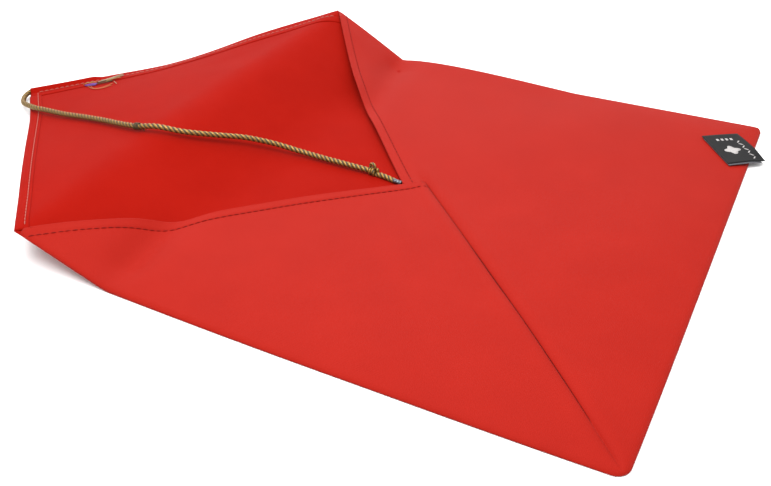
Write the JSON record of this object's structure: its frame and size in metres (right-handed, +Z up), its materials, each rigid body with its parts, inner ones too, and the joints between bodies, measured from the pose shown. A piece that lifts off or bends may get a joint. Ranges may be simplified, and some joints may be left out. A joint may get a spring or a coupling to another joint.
{
  "type": "cloth envelope pouch with tie cord",
  "caption": "Flat red cloth envelope pouch with a V-shaped mouth, a hemmed triangular flap that folds over it, a twisted gold tie cord and a small woven label.",
  "frame": {"origin": "middle of the square body's underside, where the pouch lies on a table", "axes": "+X from the flap to the closed seam, +Y from the near folded edge to the far folded edge, +Z up"},
  "size_m": [0.5443, 0.36, 0.0382],
  "materials": {
    "red_cotton": "plain-woven dyed cotton, matt",
    "red_cotton_inside": "plain-woven dyed cotton, inside face, matt",
    "dark_thread": "sewing thread, dark red",
    "pale_thread": "sewing thread, pale",
    "gold_cord": "twisted metallic yarn with a dark strand",
    "loose_threads": "frayed core yarns, mixed colours",
    "steel_sleeve": "crimped end sleeve",
    "black_woven": "damask-woven label tape",
    "white_woven": "woven label threads"
  },
  "bodies": {
    "pouch": {"back_panel": "red_cotton", "mouth_strip": "red_cotton_inside", "near_front_panel": "red_cotton", "far_front_panel": "red_cotton", "near_front_tip": "red_cotton", "far_front_tip": "red_cotton", "near_tip_fold": "red_cotton", "far_tip_fold": "red_cotton", "near_fold_edge": "red_cotton", "far_fold_edge": "red_cotton", "side_seam": "red_cotton", "side_seam_allowance": "red_cotton_inside", "side_seam_thread": "dark_thread", "diagonal_seam_allowance": "red_cotton_inside", "diagonal_seam_thread": "dark_thread", "near_mouth_hem": "red_cotton", "far_mouth_hem": "red_cotton", "near_mouth_stitches": "dark_thread", "far_mouth_stitches": "dark_thread", "cord_knot": "gold_cord", "cord_loop": "gold_cord", "cord_tail": "gold_cord", "cord_sleeve": "steel_sleeve"},
    "flap": {"flap_panel": "red_cotton_inside", "flap_far_hem": "red_cotton_inside", "flap_near_hem": "red_cotton_inside", "flap_cord_channel": "red_cotton_inside", "flap_far_stitches": "pale_thread", "flap_near_stitches": "pale_thread", "cord_anchor": "gold_cord", "cord": "gold_cord", "cord_whipping": "dark_thread", "cord_frayed_end": "loose_threads"},
    "label": {"label_top_leaf": "black_woven", "label_under_leaf": "black_woven", "label_motif": "white_woven"}
  },
  "joints": [
    {"name": "flap_fold", "type": "hinge", "parent": "pouch", "child": "flap", "pos_m": [-0.1739, 0, 0.032], "axis": [0.0139, 0.9991, 0.04], "range_deg": [0, 190], "deforming": ["cord"]},
    {"name": "label_lift", "type": "hinge", "parent": "pouch", "child": "label", "pos_m": [0.17936, 0.11069, 0.00845], "axis": [0.788, 0.6157, 0], "range_deg": [0, 150]}
  ]
}
